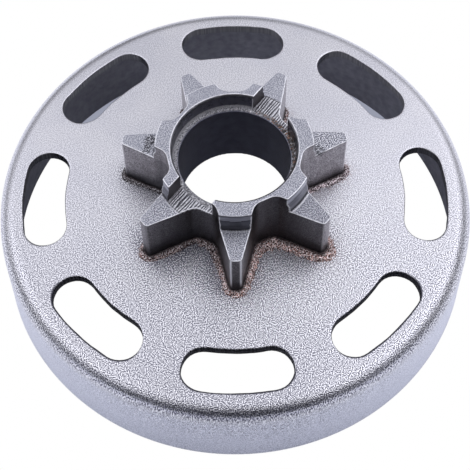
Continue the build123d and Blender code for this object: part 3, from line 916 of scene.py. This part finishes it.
    # dark joint at the foot of the collar on the right
    under_c = g.mix(g.math("MULTIPLY", g.remap(zm, 26.60, 26.25), g.remap(xm, 1.0, 5.0, 0.0, 0.9)), under_c, (0.035, 0.035, 0.042))
    side_c = g.mix(g.attr("under"), side_c, under_c)
    c = g.mix(up, side_c, top_c)
    c = g.mix(cheek, c, g.mix(g.remap(mottle, 0.35, 0.6), (0.055, 0.052, 0.060), (0.105, 0.094, 0.100)))
    mill_c = g.mix(g.remap(ridges, 0.25, 0.75), (0.045, 0.045, 0.055), (0.66, 0.66, 0.68))
    mill_c = g.mix(g.remap(grain, 0.56, 0.40, 0.0, 0.55), mill_c, (0.13, 0.13, 0.145))
    mill_c = g.mix(g.remap(ym, 4.0, 9.0, 0.0, 0.12), mill_c, (0.24, 0.235, 0.245))
    # painted shade along the foot of the slot walls
    mill_c = g.mix(g.math("MULTIPLY", g.attr("wall_foot_shade"), 0.8), mill_c, (0.060, 0.056, 0.062))
    c = g.mix(milled, c, mill_c)
    # copper flecks carried onto the ledge, more of them on the right
    fleck = g.remap(g.noise(0.42, 3.0, 0.6), 0.60, 0.52)
    side = g.remap(x, 0.001, 0.007, 0.10, 1.0, smooth=True)
    led_c = g.mix(g.remap(grain, 0.40, 0.60), (0.10, 0.10, 0.11), (0.46, 0.46, 0.48))
    led_c = g.mix(g.remap(zm, LEDGE_Z + 0.10, LEDGE_Z + 0.35, 0.0, 0.55), led_c, (0.62, 0.62, 0.64))
    led_c = g.mix(g.math("MULTIPLY", fleck, side), led_c, g.mix(g.remap(g.noise(0.36, 2.0, 0.6), 0.54, 0.62), (0.030, 0.023, 0.022), (0.24, 0.12, 0.075)))
    c = g.mix(ledge, c, led_c)
    c = g.mix(counter, c, g.mix(g.remap(mottle, 0.35, 0.65), (0.13, 0.131, 0.160), (0.19, 0.191, 0.222)))
    c = g.mix(g.attr("mouth"), c, g.mix(g.remap(mottle, 0.35, 0.65), (0.14, 0.14, 0.16), (0.24, 0.24, 0.26)))
    c = g.mix(bore, c, g.mix(g.remap(mottle, 0.35, 0.65), (0.098, 0.100, 0.132), (0.134, 0.137, 0.174)))
    c = g.mix(g.math("MULTIPLY", pitted, g.remap(speckle, 0.60, 0.47)), c, (0.030, 0.029, 0.036))
    # painted shade in the concave corners
    c = g.mix(g.math("MULTIPLY", crease_shade_mask, 0.9), c, (0.045, 0.043, 0.048))
    c = g.mix(g.math("MULTIPLY", halo, 0.55), c, (0.045, 0.045, 0.054))
    # real edge wear, joined by the painted highlight lines
    wear_and_highlight = g.math("MULTIPLY", wear, g.remap(g.noise(0.7, 2.0, 0.6), 0.30, 0.55, 0.5, 1.0))
    wear_and_highlight = g.math("MAXIMUM", wear_and_highlight, line)
    c = g.mix(wear_and_highlight, c, (0.97, 0.97, 0.985))
    g.link(c, sh.inputs["Base Color"])
    r = g.remap(mottle, 0.3, 0.7, 0.34, 0.44)
    r = g.math("ADD", r, g.math("MULTIPLY", wear_and_highlight, 0.14))
    r = g.math("SUBTRACT", r, g.math("MULTIPLY", counter, 0.10))
    g.link(r, sh.inputs["Roughness"])
    tops = g.math("MULTIPLY", g.math("MULTIPLY", speckle, up), coarse)
    sides = g.math("MULTIPLY", g.math("ADD", g.math("MULTIPLY", drag, 0.3), g.math("MULTIPLY", grain, 0.7)), g.math("SUBTRACT", g.math("SUBTRACT", 1.0, up), g.math("MULTIPLY", counter, 0.75), clamp=True))
    n1 = g.bump(g.math("ADD", tops, sides), 0.045, 0.9)
    n2 = g.bump(lines, 0.02, turned, n1)
    n3 = g.bump(ridges, 0.035, milled, n2)
    g.link(n3, sh.inputs["Normal"])
    g.link(g.math("SUBTRACT", 1.0, g.math("MULTIPLY", ledge, 0.85)), sh.inputs["Metallic"])
    return m


def braze_material():
    m, nt, sh = new_material("copper_braze_finish")
    g = Nodes(nt)
    spread = g.attr("spread")
    warm = g.attr("warm")
    gap = g.attr("gap")
    tone = g.attr("tone")
    grit = g.plane_noise(0.185)
    lump = g.noise(0.8, 2.0, 0.5)
    shine = g.math("ADD", g.math("MULTIPLY", grit, 0.90), g.math("MULTIPLY", tone, 0.10))
    bright = g.mix(g.attr("pink"), (0.95, 0.545, 0.460), (0.70, 0.52, 0.56))
    copper = g.mix(g.remap(shine, 0.38, 0.50), (0.026, 0.014, 0.014), bright)
    copper = g.mix(g.remap(shine, 0.52, 0.60), copper, (1.0, 0.93, 0.92))
    grey = g.mix(g.remap(shine, 0.43, 0.64), (0.012, 0.012, 0.015), (0.30, 0.29, 0.30))
    warmth = g.math("MULTIPLY", warm, g.remap(lump, 0.30, 0.52, 0.55, 1.0), clamp=True)
    c = g.mix(warmth, grey, copper)
    c = g.mix(g.math("MULTIPLY", gap, 0.5), c, (0.020, 0.012, 0.013))
    # painted shade on the inner part of the bead, next to the flank foot
    c = g.mix(g.remap(spread, 0.12, 0.50, 0.93, 0.0), c, (0.026, 0.020, 0.021))
    g.link(c, sh.inputs["Base Color"])
    g.link(g.remap(grit, 0.3, 0.7, 0.56, 0.38), sh.inputs["Roughness"])
    n1 = g.bump(grit, 0.05, 1.0)
    g.link(n1, sh.inputs["Normal"])
    sh.inputs["Metallic"].default_value = 0.85
    return m


# ------------------------------------------------------------------ build the pieces
drum = build_drum()
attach(drum, "root")
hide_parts("clutch_drum")
drum.data.materials.append(drum_material())

sprocket = build_sprocket()
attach(sprocket, "root")
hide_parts("spur_sprocket")
sprocket.data.materials.append(sprocket_material())

bead = build_bead()
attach(bead, "root")
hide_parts("braze_fillet")
bead.data.materials.append(braze_material())

for ob in (drum, sprocket, bead):
    ob.data.calc_loop_triangles()
    print("TRIS", ob.name, len(ob.data.loop_triangles))

# ------------------------------------------------------------------ floor, light, camera
fm = bpy.data.meshes.new("floor")
fm.from_pydata([(-3, -3, 0), (3, -3, 0), (3, 3, 0), (-3, 3, 0)], [], [(0, 1, 2, 3)])
floor = bpy.data.objects.new("floor", fm)
floor.location = (0, 0, -0.00002)
bpy.context.scene.collection.objects.link(floor)
mat = bpy.data.materials.new("floor_white")
mat.use_nodes = True
nt = mat.node_tree
nt.nodes.clear()
out = nt.nodes.new("ShaderNodeOutputMaterial")
lp = nt.nodes.new("ShaderNodeLightPath")
em = nt.nodes.new("ShaderNodeEmission")
em.name = "floor_seen"
df = nt.nodes.new("ShaderNodeBsdfDiffuse")
# light pools to the left and right of the part, as from two side lamps
fg = Nodes(nt)
fx, fy, _ = fg.sep()
frr = fg.math("SQRT", fg.math("ADD", fg.math("MULTIPLY", fx, fx), fg.math("MULTIPLY", fy, fy)))
side_pool = fg.remap(fg.math("ABSOLUTE", fx), 0.006, 0.042, 0.055, 0.285, smooth=True)
side_pool = fg.math("MULTIPLY", side_pool, fg.remap(frr, 0.0368, 0.0376))
# less light comes back from the floor further in front of the part
front_shade = fg.math("MULTIPLY", fg.remap(frr, 0.044, 0.064, smooth=True), fg.remap(fy, -0.010, -0.036, smooth=True))
nt.links.new(fg.mix(front_shade, (0.88, 0.89, 0.92), (0.51, 0.52, 0.55)), df.inputs["Color"])
# the floor under the drum lies in shade at the back
shade = fg.math("MULTIPLY", fg.remap(frr, 0.0366, 0.0362), fg.remap(fy, 0.0175, 0.0225, smooth=True))
nt.links.new(fg.mix(shade, (1.0, 1.0, 1.0), (0.315, 0.332, 0.415)), em.inputs["Color"])
glow = nt.nodes.new("ShaderNodeEmission")
glow.name = "floor_glow"
glow.inputs["Color"].default_value = (0.95, 0.96, 1.05, 1)
nt.links.new(side_pool, glow.inputs["Strength"])
both = nt.nodes.new("ShaderNodeAddShader")
nt.links.new(df.outputs[0], both.inputs[0])
nt.links.new(glow.outputs[0], both.inputs[1])
mx = nt.nodes.new("ShaderNodeMixShader")
nt.links.new(lp.outputs["Is Camera Ray"], mx.inputs[0])
nt.links.new(both.outputs[0], mx.inputs[1])
nt.links.new(em.outputs[0], mx.inputs[2])
nt.links.new(mx.outputs[0], out.inputs["Surface"])
fm.materials.append(mat)

world = bpy.data.worlds.new("studio")
bpy.context.scene.world = world
world.use_nodes = True
wt = world.node_tree
wt.nodes.clear()
wo = wt.nodes.new("ShaderNodeOutputWorld")
bg = wt.nodes.new("ShaderNodeBackground")
wt.links.new(bg.outputs[0], wo.inputs["Surface"])
wtc = wt.nodes.new("ShaderNodeTexCoord")


def w_dot(direction):
    n = wt.nodes.new("ShaderNodeVectorMath")
    n.operation = "DOT_PRODUCT"
    wt.links.new(wtc.outputs["Generated"], n.inputs[0])
    n.inputs[1].default_value = direction
    return n.outputs["Value"]


def w_map(v, a, b, c, d):
    n = wt.nodes.new("ShaderNodeMapRange")
    n.interpolation_type = "SMOOTHSTEP"
    wt.links.new(v, n.inputs["Value"])
    for name, x in (("From Min", a), ("From Max", b), ("To Min", c), ("To Max", d)):
        n.inputs[name].default_value = x
    return n.outputs["Result"]


def w_add(a, b):
    n = wt.nodes.new("ShaderNodeMath")
    n.operation = "ADD"
    wt.links.new(a, n.inputs[0])
    wt.links.new(b, n.inputs[1])
    return n.outputs[0]


# soft light panels all round, weak towards the front: elevation, azimuth (0 right, 90 behind), strength
PANELS = (
    (8, 30, 0.01), (8, 60, 0.27), (8, 90, 0.12), (8, 120, 0.08), (8, 150, 0.21),
    (28, 15, 0.35), (28, 45, 0.62), (28, 75, 0.31), (28, 105, 0.17), (28, 135, 0.37), (28, 165, 0.68), (28, 195, 0.22), (28, 345, 0.16),
    (48, 0, 1.11), (48, 36, 1.01), (48, 72, 0.53), (48, 108, 0.49), (48, 144, 0.87), (48, 180, 0.86), (48, 216, 0.79), (48, 252, 0.03), (48, 324, 0.67),
    (68, 0, 0.73), (68, 60, 0.31), (68, 120, 0.30), (68, 180, 0.55), (68, 240, 0.47), (68, 300, 0.39),
)
total = None
for el, az, power in PANELS:
    e, a = math.radians(el), math.radians(az)
    spot = w_map(w_dot((math.cos(e) * math.cos(a), math.cos(e) * math.sin(a), math.sin(e))),
                 math.cos(math.radians(28)), 1.0, 0.0, power)
    total = spot if total is None else w_add(total, spot)
wt.links.new(total, bg.inputs["Strength"])
bg.inputs["Color"].default_value = (0.965, 0.968, 1.055, 1)

# camera, from the fitted view of the photo
D, ELEV, TILT, ROLL, AZ = 235.0, 61.05, -0.285, 0.595, -0.26
er, ev = math.radians(ELEV), math.radians(ELEV + TILT)
c_loc = Vector((0, -D * math.cos(er), D * math.sin(er))) * MM
fwd = Vector((0, math.cos(ev), -math.sin(ev)))
rgt = Vector((1, 0, 0))
upv = rgt.cross(fwd)
ra = math.radians(ROLL)
cr = rgt * math.cos(ra) - upv * math.sin(ra)
cu = rgt * math.sin(ra) + upv * math.cos(ra)
rot = Matrix((cr, cu, -fwd)).transposed().to_4x4()
turn = Matrix.Rotation(math.radians(AZ), 4, "Z")
cam_data = bpy.data.cameras.new("camera")
cam_data.sensor_width = 36.0
cam_data.lens = 36.0 * 1407.0 / 470.0
cam_data.shift_x = -0.37 / 470.0
cam_data.clip_start, cam_data.clip_end = 0.005, 20.0
cam = bpy.data.objects.new("camera", cam_data)
cam.matrix_world = turn @ Matrix.Translation(c_loc) @ rot
bpy.context.scene.collection.objects.link(cam)
bpy.context.scene.camera = cam

vs = bpy.context.scene.view_settings
vs.view_transform = "Standard"
vs.look = "None"
vs.exposure = 0.0
vs.gamma = 1.0
